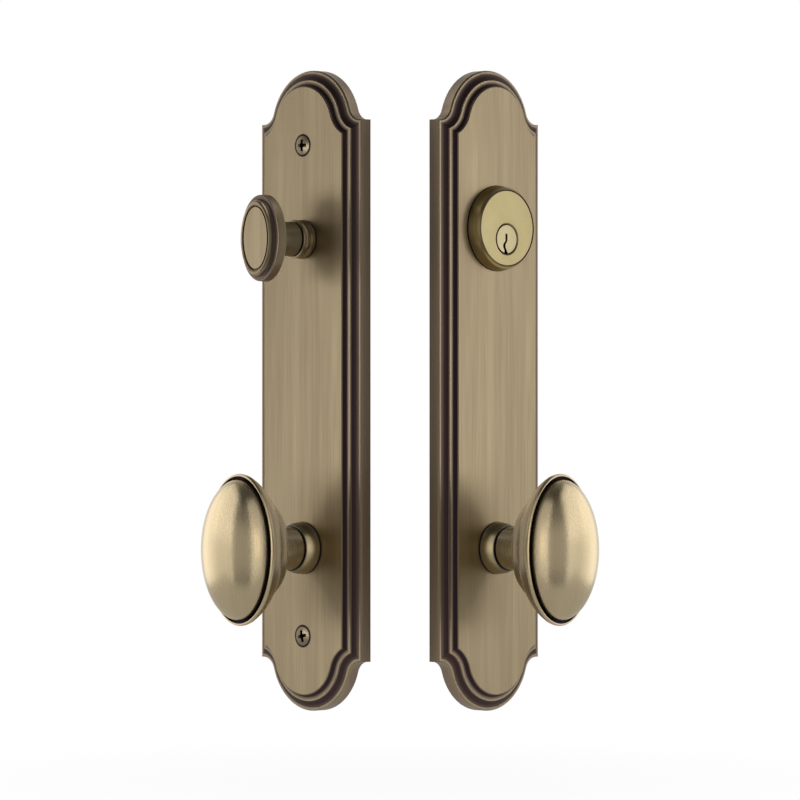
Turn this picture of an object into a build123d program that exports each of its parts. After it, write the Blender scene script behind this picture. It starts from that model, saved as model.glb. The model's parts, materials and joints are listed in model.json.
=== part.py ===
from build123d import *
import math
import os

# Entry set for a door, as two halves that stand apart like an open book. The interior half has a
# thumbturn above an egg-shaped knob, and the exterior half has a key cylinder above the same knob.
# Each half is made in its own plate frame: X to the right, Y up, Z out of the door, with the
# door's face at Z = 0 and the plate's middle at the origin. place() then stands it up and turns it.

# Plate outline
PLATE_W = 65.5
PLATE_SIDE = 243.8      # shoulder to shoulder, along the straight sides
ARCH_R = 26.0
ARCH_RISE = 23.3        # from the shoulders to the top of the arch
NOTCH_R = 6.8           # hollow curve between arch and shoulder

# Plate edge, from the door outwards
EDGE_WALL = 5.2
EDGE_BEVEL = 0.6
LIP_W = 0.4
LOWER_COVE_W = 3.6
LOWER_COVE_H = 2.1
RISER_H = 0.3
LEDGE_W = 0.5
UPPER_COVE_W = 2.3
UPPER_COVE_H = 2.2
FACE_BEVEL = 0.4

# Hollow back of the plate
LAND_W = 3.0            # rim that bears on the door
LAND_DEPTH = 3.5
FACE_WALL = 3.0         # metal left behind the face
POCKET_MARGIN = 0.65    # pocket wall, inwards of the moulding
BOSS_R = 6.5

# Heights on the plate, from its middle
TURN_Y = 68.5
AXIS_SPACING = 139.7    # deadbolt axis to knob axis
SCREW_SPACING = 222.25
PLUG_DROP = 5.0         # plug axis below the middle of the cylinder

# How the two halves stand
HALF_X = 36.4
HALF_TURN = 45.0

# Clearances
RUN = 0.05              # radial, where one piece turns in another
SLIP = 0.1              # radial or per side, where a piece is slid in
END_GAP = 0.15          # along an axis, between a turning face and a fixed one
SEAM = 0.5              # seen gap between a neck and its collar

# Knob, along its axis from the plate's face
KNOB_RATIO = 0.64       # width of the oval to its height
KNOB_DOME_RATIO = 0.61
KNOB_STEP_W = 0.7
KNOB_BACK = 20.4
KNOB_BEAD = 21.7
KNOB_STEP = 27.0
KNOB_RIM = 38.9
DOME_RISE = 0.4         # the dome's widest line, above the rim's
KNOB_TIP = 54.5
BACK_HALF = 18.6
BEAD_HALF = 20.4
STEP_HALF = 23.6
RIM_HALF = 34.0
RIM_LIP_W = 1.0         # metal between the rim's edge and the groove
GROOVE_W = 1.4
GROOVE_DEPTH = 1.6
ROOT = 0.8              # how far a front form is let into the one behind it, in one casting
NECK_R = 9.7
SHANK_R = 8.0
SHANK_END = 4.9         # above the door's face
COLLAR_H = 7.5
COLLAR_BASE_R = 11.9
COLLAR_FRONT_R = 10.4
SPIGOT_R = 10.2
BUSHING_R = 9.2

# Square spindle and its set screw
SPINDLE_W = 8.0
SPINDLE_OUT = 25.0      # behind the door's face
SPINDLE_IN = 28.0       # into the knob, from the door's face
SET_SCREW_R = 2.5
SET_SCREW_UP = 24.0     # height above the door's face
SET_SCREW_SINK = 0.6
SET_KEY_W = 2.5

# Snap rings
RING_T = 0.8
RING_GAP_W = 5.0
KNOB_RING_R = 10.6
KNOB_GROOVE_R = 7.2

# Spring cassette behind the knob
CASE_WALL = 1.2
CASE_FLOOR = 1.0
CASE_DEPTH = 5.2
COVER_T = 1.0
CASE_ROOM = 0.5         # at least as much round the case in the plate
EAR_OUT = 5.0           # an ear's screw, outwards of the case
EAR_R = 3.6
COVER_SCREW_R = 1.5
COVER_HEAD_R = 2.7
COVER_HEAD_H = 1.2
COVER_SCREW_IN = 5.0
CAM_R = 11.6
CAM_T = 1.9
CAM_LUG_L = 3.2         # from the cam's foot outwards
CAM_LUG_W = 4.6
CAM_LUG_H = 3.4
LUG_ROOM = 0.3          # between the lug and the stop
STOP_T = 1.0
STOP_ROOM = 2.4         # between the stop and the spring's coil
SPRING_WIRE = 1.6
SPRING_ROOM = 0.3
SPRING_BEND = 2.0
LEG_LAP = 2.0           # how far a leg reaches down beside the lug

# Thumbturn, along its axis from the plate's face. The ratios are each oval's width to its height.
TURN_RATIO = 0.645
TURN_FRONT_RATIO = 0.575
TURN_PANEL_RATIO = 0.545
TURN_BACK = 21.5
TURN_BAND_END = 26.8
TURN_FRONT = 29.9
TURN_PANEL = 29.5
TURN_HALF = 19.6
TURN_WAIST_HALF = 17.6
TURN_BEAD_HALF = 17.0
TURN_BEAD_W = 2.4
TURN_PANEL_HALF = 14.1
TURN_PANEL_GROOVE = 0.5
TURN_NECK_R = 8.0
TURN_NECK_TOP_R = 7.2
TURN_SHANK_R = 5.5
TURN_SHANK_END = 3.4
TURN_COLLAR_H = 7.2
TURN_COLLAR_R = 8.8
TURN_COLLAR_WAIST = 8.3
TURN_SPIGOT_R = 7.0
TURN_GROOVE_R = 4.8
TURN_RING_R = 7.6
WASHER_T = 0.3
WASHER_WAVE = 0.25
WASHER_R = 7.8
CROSS_PIN_R = 0.8
CROSS_PIN_UP = 4.6
BAR_W = 6.2
BAR_T = 2.2
BAR_OUT = 25.0
BAR_IN = 16.0

# Screws that tie the plates, and their posts
TIE_R = 2.4             # over the rolled thread
TIE_NECK_R = 2.1        # plain neck under the head
TIE_THREAD_END = 1.0    # behind the door's face
TIE_HEAD_R = 4.7
TIE_CONE_H = 2.4
TIE_CROWN = 0.8
TIE_OUT = 26.0
TIE_TIP = 0.6           # chamfer at the screw's end
SEAT_BEVEL = 0.3        # breaks the edge of the countersink, past the head's rim
TIE_TURN = 12.0         # how far round the lower screw stopped, in degrees
CROSS_W = 1.5
CROSS_SPAN = 5.6
CROSS_CORE = 2.6
CROSS_DEPTH = 2.2       # below the plate's face
CROSS_NARROWS = 0.5     # the recess's foot to its mouth
POST_R = 4.0
POST_OUT = 27.0
POST_BORE_R = 2.1
POST_BORE_DEPTH = 22.0
POST_STUD_R = 3.0
POST_STUD_IN = 8.0

# Key cylinder, along its axis
CYL_H = 6.4             # ring's front above the plate's face
CYL_TAPER = 1.1         # how much narrower its front is than its base
CYL_LIP_W = 0.3
CYL_CHAMFER = 1.0
PLUG_DISH_R = 7.4       # dished ring in the face, round the plug
PLUG_DISH_H = 0.9
CYL_FACE_SINK = 0.25
CYL_FACE_T = 4.0
CYL_BODY_R = 13.8
CYL_BODY_OUT = 14.8
PLUG_R = 6.35
PLUG_OUT = 15.0
PLUG_RECESS = 0.2
CAP_R = 7.4
CAP_T = 2.6
CAP_THREAD_R = 4.6
CAP_THREAD_DEPTH = 3.0
CYL_BAR_W = 6.2
CYL_BAR_T = 1.6
CYL_BAR_SEAT = 1.4
# Keyway's middle line from its top down: (across, up, width) from the plug's axis
KEYWAY_LINE = [(-0.2, 2.5, 1.3), (-0.2, -0.8, 1.3), (-1.5, -2.3, 1.5), (-1.6, -3.6, 1.5), (-0.7, -5.1, 1.6),
               (-0.4, -7.2, 2.6)]
KEYWAY_DEPTH = 27.0
PIN_R = 1.4
PIN_COUNT = 5
PIN_PITCH = 4.0
FIRST_PIN = 5.4         # behind the plug's face
KEY_PIN_FOOT = 0.9      # lowest point of a key pin, above the plug's axis
SHEAR_GAP = 0.12
DRIVER_L = 4.4
CHAMBER_CAP = 1.6
CLAMP_EDGE_W = 3.5      # from a clamp screw to the edge of the clamp ring
CYL_EDGE_W = 4.0        # and to the edge of the cylinder's ring
CLAMP_T = 1.2
CLAMP_SCREW_R = 1.0
CLAMP_SCREW_OUT = 1.7   # outwards of the cylinder's body
CLAMP_HEAD_R = 1.55
CLAMP_HEAD_H = 1.4
CLAMP_SCREW_IN = 3.0

# Worked out from the sizes above
MOULD_W = EDGE_BEVEL + LIP_W + LOWER_COVE_W + LEDGE_W + UPPER_COVE_W + FACE_BEVEL
PLATE_T = EDGE_WALL + EDGE_BEVEL + LOWER_COVE_H + RISER_H + UPPER_COVE_H + FACE_BEVEL
SHOULDER_Y = PLATE_SIDE / 2
PLATE_TOP = SHOULDER_Y + ARCH_RISE
ARCH_Y = PLATE_TOP - ARCH_R
NOTCH_Y = SHOULDER_Y + NOTCH_R
NOTCH_X = math.sqrt((ARCH_R + NOTCH_R) ** 2 - (NOTCH_Y - ARCH_Y) ** 2)
KNOB_Y = TURN_Y - AXIS_SPACING
SCREW_Y = SCREW_SPACING / 2
CEILING = PLATE_T - FACE_WALL
CASE_OPEN = CEILING - CASE_DEPTH
KNOB_DOME = KNOB_RIM + DOME_RISE
DOME_HALF = RIM_HALF - RIM_LIP_W - GROOVE_W
CLAMP_SCREW_AT = CYL_BODY_R + CLAMP_SCREW_OUT
CLAMP_R = CLAMP_SCREW_AT + CLAMP_EDGE_W
CYL_BASE_R = CLAMP_SCREW_AT + CYL_EDGE_W
CYL_FRONT_R = CYL_BASE_R - CYL_TAPER
CAM_FOOT_R = KNOB_RING_R + RING_T / 2
CAM_LUG_R = CAM_FOOT_R + CAM_LUG_L
STOP_R = CAM_LUG_R + LUG_ROOM + STOP_T
COIL_R = STOP_R + STOP_ROOM + SPRING_WIRE / 2
CASE_R = COIL_R + SPRING_WIRE / 2 + SPRING_ROOM + CASE_WALL
EAR_Y = CASE_R + EAR_OUT
SPIGOT_END = CEILING - CASE_FLOOR
CYL_FRONT = PLATE_T + CYL_H
CYL_FACE = CYL_FRONT - CYL_FACE_SINK
PLUG_FACE = CYL_FACE - PLUG_RECESS
PLUG_END = -PLUG_OUT


# Section drawing

def bend(start, end, heading):
    """An arc from start to end that sets off in the direction heading, in degrees."""
    run, rise = end[0] - start[0], end[1] - start[1]
    half_turn = math.atan2(rise, run) - math.radians(heading)
    lift = math.tan(half_turn / 2) / 2
    middle = ((start[0] + end[0]) / 2 + rise * lift, (start[1] + end[1]) / 2 - run * lift)
    return (middle, end)


def outline(steps, at):
    """A closed face through steps: a corner (a, b), or an arc's (middle, end). at() places a point."""
    edges = []
    here = steps[0]
    for step in steps[1:] + [steps[0]]:
        if isinstance(step[0], tuple):
            middle, there = step
            edges.append(ThreePointArc(at(here), at(middle), at(there)))
        else:
            there = step
            edges.append(Line(at(here), at(there)))
        here = there
    return make_face(edges)


def upright(point):
    """A section point (radius, height) on the XZ plane."""
    return Vector(point[0], 0, point[1])


def turned(steps):
    """A turned piece: its half section (radius, height) spun about Z."""
    return revolve(outline(steps, upright), Axis.Z)


def disc(radius, low, high, x=0.0, y=0.0):
    return Pos(x, y, low) * Cylinder(radius, high - low, align=(Align.CENTER, Align.CENTER, Align.MIN))


def ring(outer, inner, low, high):
    return disc(outer, low, high) - disc(inner, low - 1, high + 1)


def block(x_size, y_size, low, high, x=0.0, y=0.0):
    return Pos(x, y, low) * Box(x_size, y_size, high - low, align=(Align.CENTER, Align.CENTER, Align.MIN))


def one_solid(shape):
    """The single solid of a shape, so that each piece is written as a plain solid."""
    return shape.solids()[0] if len(shape.solids()) == 1 else Compound(list(shape.solids()))


# Plates

def moulded_section(depth, at):
    """The plate's edge moulding, as far in as depth. Points are (inset from the outline, height)."""
    wall = (0, EDGE_WALL)
    lip = (EDGE_BEVEL, EDGE_WALL + EDGE_BEVEL)
    cove = (lip[0] + LIP_W, lip[1])
    riser = (cove[0] + LOWER_COVE_W, cove[1] + LOWER_COVE_H)
    ledge = (riser[0], riser[1] + RISER_H)
    tread = (ledge[0] + LEDGE_W, ledge[1])
    brow = (tread[0] + UPPER_COVE_W, tread[1] + UPPER_COVE_H)
    face = (brow[0] + FACE_BEVEL, brow[1] + FACE_BEVEL)
    steps = [(0, 0), wall, lip, cove, bend(cove, riser, 0), ledge, tread]
    steps += [bend(tread, brow, 0), face, (depth, PLATE_T), (depth, 0)]
    return outline(steps, at)


def plate_bar():
    """The long bar with moulded sides, longer than the plate, which its ends are cut from."""
    half = moulded_section(PLATE_W / 2, lambda p: Vector(PLATE_W / 2 - p[0], PLATE_TOP + 1, p[1]))
    right = extrude(half, PLATE_TOP * 2 + 2, dir=(0, -1, 0))
    return right + mirror(right, Plane.YZ)


def plate_end():
    """The arched end above the last straight stretch: arch, two hollow notches, two shoulders."""
    lean = math.degrees(math.atan2(NOTCH_Y - ARCH_Y, NOTCH_X))
    arch = revolve(moulded_section(ARCH_R, lambda p: upright((ARCH_R - p[0], p[1]))), Axis.Z,
                   revolution_arc=180 - 2 * lean)
    end = Pos(0, ARCH_Y, 0) * Rot(0, 0, lean) * arch
    reach = math.hypot(NOTCH_X, NOTCH_Y - SHOULDER_Y + MOULD_W) + 1
    notch = revolve(moulded_section(reach - NOTCH_R, lambda p: upright((NOTCH_R + p[0], p[1]))), Axis.Z,
                    revolution_arc=90 - lean)
    notch = Pos(NOTCH_X, NOTCH_Y, 0) * Rot(0, 0, 180 + lean) * notch
    flat = moulded_section(MOULD_W + 1, lambda p: Vector(NOTCH_X, SHOULDER_Y - p[0], p[1]))
    flat = extrude(flat, PLATE_W / 2 - NOTCH_X + 1, dir=(1, 0, 0))
    side = notch + flat
    return end + side + mirror(side, Plane.YZ)


def plate_blank():
    end = plate_end()
    middle = block(PLATE_W + 2, 2 * (SHOULDER_Y - MOULD_W), 0, PLATE_T)
    return plate_bar() & (end + middle + mirror(end, Plane.XZ))


def hollow(margin, depth):
    """The space behind the plate, a margin inside its outline and as deep as depth."""
    space = block(PLATE_W - 2 * margin, 2 * (SHOULDER_Y - margin), -1, depth)
    for y in (ARCH_Y, -ARCH_Y):
        space += disc(ARCH_R - margin, -1, depth, y=y)
    return space


def plate(with_screw_holes):
    body = plate_blank() - hollow(LAND_W, LAND_DEPTH) - hollow(MOULD_W + POCKET_MARGIN, CEILING)
    body -= disc(CASE_R + CASE_ROOM, -1, CEILING, y=KNOB_Y)
    for y in (SCREW_Y, -SCREW_Y):
        body += disc(BOSS_R, 0, PLATE_T, y=y)
    for side in (-1, 1):
        body += disc(EAR_R, CASE_OPEN, PLATE_T, y=KNOB_Y + side * EAR_Y)
        body -= disc(COVER_SCREW_R, 0, CASE_OPEN + COVER_SCREW_IN, y=KNOB_Y + side * EAR_Y)
    body -= disc(SPIGOT_R, 0, PLATE_T + 1, y=KNOB_Y)
    for y in (SCREW_Y, -SCREW_Y):
        if with_screw_holes:
            body -= Pos(0, y, 0) * tie_seat()
        else:
            body -= disc(POST_STUD_R, -1, POST_STUD_IN, y=y)
    return body


def tie_seat():
    """Countersunk hole for a tie screw, with the same cone as the screw's head."""
    bore, brow, brim = TIE_R + SLIP, TIE_HEAD_R - SEAT_BEVEL, TIE_HEAD_R + SEAT_BEVEL
    slope = TIE_CONE_H / (TIE_HEAD_R - TIE_NECK_R)
    low, high = PLATE_T - (TIE_HEAD_R - bore) * slope, PLATE_T - (TIE_HEAD_R - brow) * slope
    return turned([(0, -1), (bore, -1), (bore, low), (brow, high), (brim, PLATE_T), (brim, PLATE_T + 1),
                   (0, PLATE_T + 1)])


def interior_plate():
    return plate(True) - disc(TURN_SPIGOT_R, 0, PLATE_T + 1, y=TURN_Y)


def exterior_plate():
    body = plate(False) - disc(CYL_BODY_R + SLIP, 0, PLATE_T + 1, y=TURN_Y + PLUG_DROP)
    for side in (-1, 1):
        body -= disc(CLAMP_SCREW_R + SLIP, 0, PLATE_T + 1, x=side * CLAMP_SCREW_AT, y=TURN_Y + PLUG_DROP)
    return body


# Knob and what it runs in. These are made on the knob's own axis, at X = Y = 0.

def oval(steps, ratio):
    """A turned piece narrowed to an oval."""
    return scale(turned(steps), by=(ratio, 1, 1))


def knob_head():
    """The egg: bell-shaped back with a bead, rim, groove and dome."""
    back = (BACK_HALF, PLATE_T + KNOB_BACK)
    bead = (BEAD_HALF, PLATE_T + KNOB_BEAD)
    step = (STEP_HALF, PLATE_T + KNOB_STEP)
    bead_top = (STEP_HALF - KNOB_STEP_W, step[1] - 0.3)
    shoulder = (RIM_HALF - 0.7, PLATE_T + KNOB_RIM - 2.2)
    rim = (RIM_HALF, PLATE_T + KNOB_RIM)
    rim_front = (RIM_HALF - 0.5, rim[1] + 1.0)
    groove_out = DOME_HALF + GROOVE_W
    floor = PLATE_T + KNOB_DOME - GROOVE_DEPTH
    bell = [(0, back[1]), back, bend(back, bead, 0), bend(bead, bead_top, 40), step,
            bend(step, shoulder, 27), bend(shoulder, rim, 57), bend(rim, rim_front, 88),
            (groove_out, rim_front[1]), (groove_out, floor), (0, floor)]
    return oval(bell, KNOB_RATIO) + knob_dome(floor)


def knob_dome(floor):
    """Front of the egg, half an ellipsoid that stands on the groove's floor."""
    brim, tip = PLATE_T + KNOB_DOME, PLATE_T + KNOB_TIP
    quarter = Plane(origin=(0, 0, brim), x_dir=(1, 0, 0), z_dir=(0, -1, 0))
    curve = quarter.location * EllipticalCenterArc((0, 0), DOME_HALF, tip - brim, 0, arc_size=90)
    base = Polyline(upright((0, tip)), upright((0, floor - ROOT)), upright((DOME_HALF, floor - ROOT)),
                    upright((DOME_HALF, brim)))
    dome = revolve(make_face(base.edges() + curve.edges()), Axis.Z)
    return scale(dome, by=(KNOB_DOME_RATIO, 1, 1))


def knob():
    front = PLATE_T + COLLAR_H + SEAM
    stem = turned([(0, SHANK_END), (SHANK_R, SHANK_END), (SHANK_R, front), (NECK_R - 0.4, front),
                   (NECK_R, front + 0.4), (NECK_R, PLATE_T + KNOB_BACK - 2.4),
                   bend((NECK_R, PLATE_T + KNOB_BACK - 2.4), (NECK_R + 1.4, PLATE_T + KNOB_BACK + 1), 90),
                   (0, PLATE_T + KNOB_BACK + 1)])
    body = stem + knob_head()
    body -= ring(SHANK_R + 1, KNOB_GROOVE_R, ring_low(), ring_low() + RING_T + 2 * RUN)
    hole = SPINDLE_W + 2 * RUN
    body -= block(hole, hole, SHANK_END - 1, SPINDLE_IN + END_GAP)
    return body - set_screw_bore()


def ring_low():
    """Where the knob's snap ring groove starts, just behind the bushing."""
    return SPIGOT_END - END_GAP - RING_T - 2 * RUN


def set_screw_bore():
    """Hole down the underside of the neck, for the set screw."""
    return Pos(0, 0, SET_SCREW_UP) * Rot(90, 0, 0) * disc(SET_SCREW_R, 0, NECK_R + 1)


def set_screw():
    length = NECK_R - SET_SCREW_SINK - SPINDLE_W / 2
    body = disc(SET_SCREW_R, 0, length)
    key = extrude(RegularPolygon(SET_KEY_W / 2, 6, major_radius=False), length / 2)
    body -= Pos(0, 0, length / 2) * key
    return Pos(0, -SPINDLE_W / 2, SET_SCREW_UP) * Rot(90, 0, 0) * body


def knob_collar():
    front = PLATE_T + COLLAR_H
    waist = (COLLAR_BASE_R - 0.15, PLATE_T + 1.2)
    brow = (COLLAR_FRONT_R, front - 0.5)
    return turned([(BUSHING_R, SPIGOT_END), (SPIGOT_R, SPIGOT_END), (SPIGOT_R, PLATE_T),
                   (COLLAR_BASE_R, PLATE_T), waist, bend(waist, brow, 92),
                   bend(brow, (COLLAR_FRONT_R - 0.5, front), 100), (BUSHING_R, front)])


def knob_bushing():
    return ring(BUSHING_R, SHANK_R + RUN, SPIGOT_END, PLATE_T + COLLAR_H - END_GAP)


def knob_snap_ring():
    low = ring_low() + RUN
    body = ring(KNOB_RING_R, KNOB_GROOVE_R + RUN, low, low + RING_T)
    return body - block(RING_GAP_W, KNOB_RING_R, low - 1, low + RING_T + 1, y=-KNOB_RING_R / 2 - 2)


def spindle():
    """Square bar with a chamfered outer end, so that it finds the hub's hole."""
    body = block(SPINDLE_W, SPINDLE_W, -SPINDLE_OUT, SPINDLE_IN)
    return chamfer(body.edges().group_by(Axis.Z)[0], 0.8)


# Spring cassette, which brings the knob back level

def spring_housing():
    cup = ring(CASE_R, CASE_R - CASE_WALL, CASE_OPEN, CEILING - CASE_FLOOR)
    cup += ring(CASE_R, SPIGOT_R + SLIP, CEILING - CASE_FLOOR, CEILING)
    stop = block(CAM_LUG_W, STOP_T, CASE_OPEN + 1, CEILING - CASE_FLOOR, y=STOP_R - STOP_T / 2)
    return cup + stop


def drive_cam():
    """Disc on the square spindle, with a lug that pushes the spring's legs."""
    low = CASE_OPEN + END_GAP
    body = disc(CAM_R, low, low + CAM_T)
    body += block(CAM_LUG_W, CAM_LUG_L, low, low + CAM_LUG_H, y=(CAM_FOOT_R + CAM_LUG_R) / 2)
    hole = SPINDLE_W + 2 * RUN
    return body - block(hole, hole, low - 1, low + CAM_T + 1)


def return_spring():
    """C-shaped wire spring in the case, with its legs turned in, one each side of the cam's lug."""
    wire = SPRING_WIRE / 2
    leg = CAM_LUG_W / 2 + END_GAP + wire
    side = leg + SPRING_BEND
    reach = math.sqrt((COIL_R - SPRING_BEND) ** 2 - side ** 2)
    leg_in = CAM_LUG_R - LEG_LAP
    lean = math.degrees(math.atan2(reach, side))
    around = bent_wire(wire, COIL_R, 180 + 2 * lean)
    straight = Pos(leg, leg_in, 0) * Rot(-90, 0, 0) * disc(wire, 0, reach - leg_in)
    hook = straight + Pos(side, reach, 0) * Rot(0, 0, lean) * bent_wire(wire, SPRING_BEND, 180 - lean)
    body = Rot(0, 0, 180 - lean) * around + hook + mirror(hook, Plane.YZ)
    return Pos(0, 0, (CASE_OPEN + CEILING - CASE_FLOOR) / 2) * body


def bent_wire(wire, radius, degrees):
    """Round wire bent about Z, from the X axis on."""
    return revolve(Pos(radius, 0, 0) * Rot(90, 0, 0) * Circle(wire), Axis.Z, revolution_arc=degrees)


def spring_cover():
    body = ring(CASE_R, CAM_R - 2, CASE_OPEN - COVER_T, CASE_OPEN)
    for side in (-1, 1):
        ear = disc(EAR_R, CASE_OPEN - COVER_T, CASE_OPEN, y=side * EAR_Y)
        ear += block(2 * EAR_R, EAR_Y - CASE_R + 1, CASE_OPEN - COVER_T, CASE_OPEN,
                     y=side * (EAR_Y + CASE_R - 1) / 2)
        body += ear - disc(COVER_SCREW_R, 0, CASE_OPEN + 1, y=side * EAR_Y)
    return body


def cover_screws():
    low = CASE_OPEN - COVER_T
    one = disc(COVER_HEAD_R, low - COVER_HEAD_H, low) + disc(COVER_SCREW_R, low, CASE_OPEN + COVER_SCREW_IN)
    one -= block(COVER_HEAD_R * 2 + 1, 0.7, low - COVER_HEAD_H - 1, low - COVER_HEAD_H / 2)
    return [Pos(0, side * EAR_Y, 0) * one for side in (-1, 1)]


# Thumbturn and what it runs in, on the turn's own axis

def turn_head():
    """Oval head: a plain band behind, then a cove up to a bead round a flat panel."""
    back, band = PLATE_T + TURN_BACK, PLATE_T + TURN_BAND_END
    front, panel = PLATE_T + TURN_FRONT, PLATE_T + TURN_PANEL
    rear_in, rear_edge = (TURN_HALF - 1.6, back), (TURN_HALF, back + 1.5)
    band_edge, band_in = (TURN_HALF - 0.2, band - 0.4), (TURN_HALF - 0.7, band)
    rear = [(0, back), rear_in, bend(rear_in, rear_edge, 0), band_edge, bend(band_edge, band_in, 95),
            (0, band)]
    root = band - ROOT
    foot = (TURN_WAIST_HALF, band)
    hip = (TURN_BEAD_HALF, front - 1.6)
    crown = (TURN_BEAD_HALF - 1.1, front)
    inner = (TURN_BEAD_HALF - TURN_BEAD_W, front - 0.35)
    floor = panel - TURN_PANEL_GROOVE
    face = [(0, root), (TURN_WAIST_HALF, root), foot, bend(foot, hip, 150), bend(hip, crown, 85),
            bend(crown, inner, 185), (inner[0], floor), (0, floor)]
    middle = [(0, floor - ROOT), (TURN_PANEL_HALF, floor - ROOT), (TURN_PANEL_HALF, floor),
              (TURN_PANEL_HALF - 0.25, panel), (0, panel)]
    return oval(rear, TURN_RATIO) + oval(face, TURN_FRONT_RATIO) + oval(middle, TURN_PANEL_RATIO)


def thumbturn():
    front = PLATE_T + TURN_COLLAR_H + SEAM
    low = (TURN_NECK_R, front + 0.4)
    high = (TURN_NECK_TOP_R, PLATE_T + TURN_BACK - 2.5)
    root = (TURN_NECK_TOP_R + 1.5, PLATE_T + TURN_BACK + 0.5)
    stem = turned([(0, TURN_SHANK_END), (TURN_SHANK_R, TURN_SHANK_END), (TURN_SHANK_R, front),
                   (TURN_NECK_R - 0.4, front), low, bend(low, high, 98), bend(high, root, 90), (0, root[1])])
    body = stem + turn_head()
    body -= ring(TURN_SHANK_R + 1, TURN_GROOVE_R, turn_ring_low(), turn_ring_low() + RING_T + 2 * RUN)
    body -= block(BAR_T + 2 * RUN, BAR_W + 2 * RUN, TURN_SHANK_END - 1, BAR_IN + END_GAP)
    return body - cross_pin(TURN_SHANK_R + 1)


def turn_ring_low():
    return CEILING - WASHER_T - WASHER_WAVE - END_GAP - RING_T - 2 * RUN


def cross_pin(reach):
    """A rod across the shank, as far out as reach on each side."""
    return Pos(0, 0, CROSS_PIN_UP) * Rot(0, 90, 0) * disc(CROSS_PIN_R, -reach, reach)


def turn_pin():
    return cross_pin(TURN_SHANK_R)


def turn_collar():
    front = PLATE_T + TURN_COLLAR_H
    foot = (TURN_COLLAR_R, PLATE_T + 1.8)
    neck = (TURN_COLLAR_WAIST, front - 2.2)
    lip = (TURN_COLLAR_R, front - 1.2)
    return turned([(TURN_SHANK_R + RUN, CEILING), (TURN_SPIGOT_R, CEILING), (TURN_SPIGOT_R, PLATE_T),
                   (TURN_COLLAR_R, PLATE_T), foot, bend(foot, neck, 115), bend(neck, lip, 75),
                   (TURN_COLLAR_R, front - 0.4), (TURN_COLLAR_R - 0.4, front), (TURN_SHANK_R + RUN, front)])


def turn_washer():
    """Wave washer: a thin ring pressed out of flat in three waves, drawn as a dished ring."""
    top = CEILING
    low = top - WASHER_T - WASHER_WAVE
    inner = TURN_SHANK_R + 2 * SLIP
    return turned([(inner, low), (inner, low + WASHER_T), (WASHER_R, top), (WASHER_R, top - WASHER_T)])


def turn_snap_ring():
    low = turn_ring_low() + RUN
    body = ring(TURN_RING_R, TURN_GROOVE_R + RUN, low, low + RING_T)
    return body - block(RING_GAP_W - 2, TURN_RING_R, low - 1, low + RING_T + 1, y=-TURN_RING_R / 2 - 2)


def turn_tailpiece():
    body = block(BAR_T, BAR_W, -BAR_OUT, BAR_IN)
    return body - cross_pin(TURN_SHANK_R + 1)


# Screws and posts that tie the plates through the door

def cross_recess():
    """Four tapered flutes round a square core for a cross-headed driver, narrower at the foot."""
    mouth = Rectangle(CROSS_SPAN, CROSS_W) + Rectangle(CROSS_W, CROSS_SPAN)
    mouth += Rot(0, 0, 45) * Rectangle(CROSS_CORE, CROSS_CORE)
    foot = Pos(0, 0, PLATE_T - CROSS_DEPTH) * scale(mouth, by=CROSS_NARROWS)
    return loft([foot, Pos(0, 0, PLATE_T + TIE_CROWN) * mouth], ruled=True)


def tie_screw(turned_by):
    """Oval-headed countersunk screw. Its thread is thicker than its neck, as a rolled thread is."""
    rim, crown = (TIE_HEAD_R, PLATE_T), (0, PLATE_T + TIE_CROWN)
    body = turned([(0, -TIE_OUT), (TIE_R - TIE_TIP, -TIE_OUT), (TIE_R, -TIE_OUT + TIE_TIP),
                   (TIE_R, -TIE_THREAD_END), (TIE_NECK_R, -TIE_THREAD_END),
                   (TIE_NECK_R, PLATE_T - TIE_CONE_H), rim, bend(rim, crown, 161)])
    return body - Rot(0, 0, turned_by) * cross_recess()


def tie_screws():
    return [Pos(0, SCREW_Y, 0) * tie_screw(0), Pos(0, -SCREW_Y, 0) * tie_screw(TIE_TURN)]


def tie_posts():
    one = disc(POST_R, -POST_OUT, 0) + disc(POST_STUD_R, 0, POST_STUD_IN)
    one -= disc(POST_BORE_R, -POST_OUT - 1, -POST_OUT + POST_BORE_DEPTH)
    return [Pos(0, y, 0) * one for y in (SCREW_Y, -SCREW_Y)]


# Key cylinder. The ring, body and clamp are made on the body's axis, and the plug on its own.

def cylinder_collar():
    inner = CYL_FRONT_R - CYL_CHAMFER - CYL_LIP_W
    seat = CYL_FACE - CYL_FACE_T
    body = turned([(CYL_BODY_R + SLIP, PLATE_T), (CYL_BASE_R, PLATE_T),
                   (CYL_FRONT_R, CYL_FRONT - CYL_CHAMFER), (CYL_FRONT_R - CYL_CHAMFER, CYL_FRONT),
                   (inner, CYL_FRONT), (inner, seat), (CYL_BODY_R + SLIP, seat)])
    for side in (-1, 1):
        body -= disc(CLAMP_SCREW_R + SLIP, PLATE_T - 1, seat + 1, x=side * CLAMP_SCREW_AT)
    return body


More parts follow.
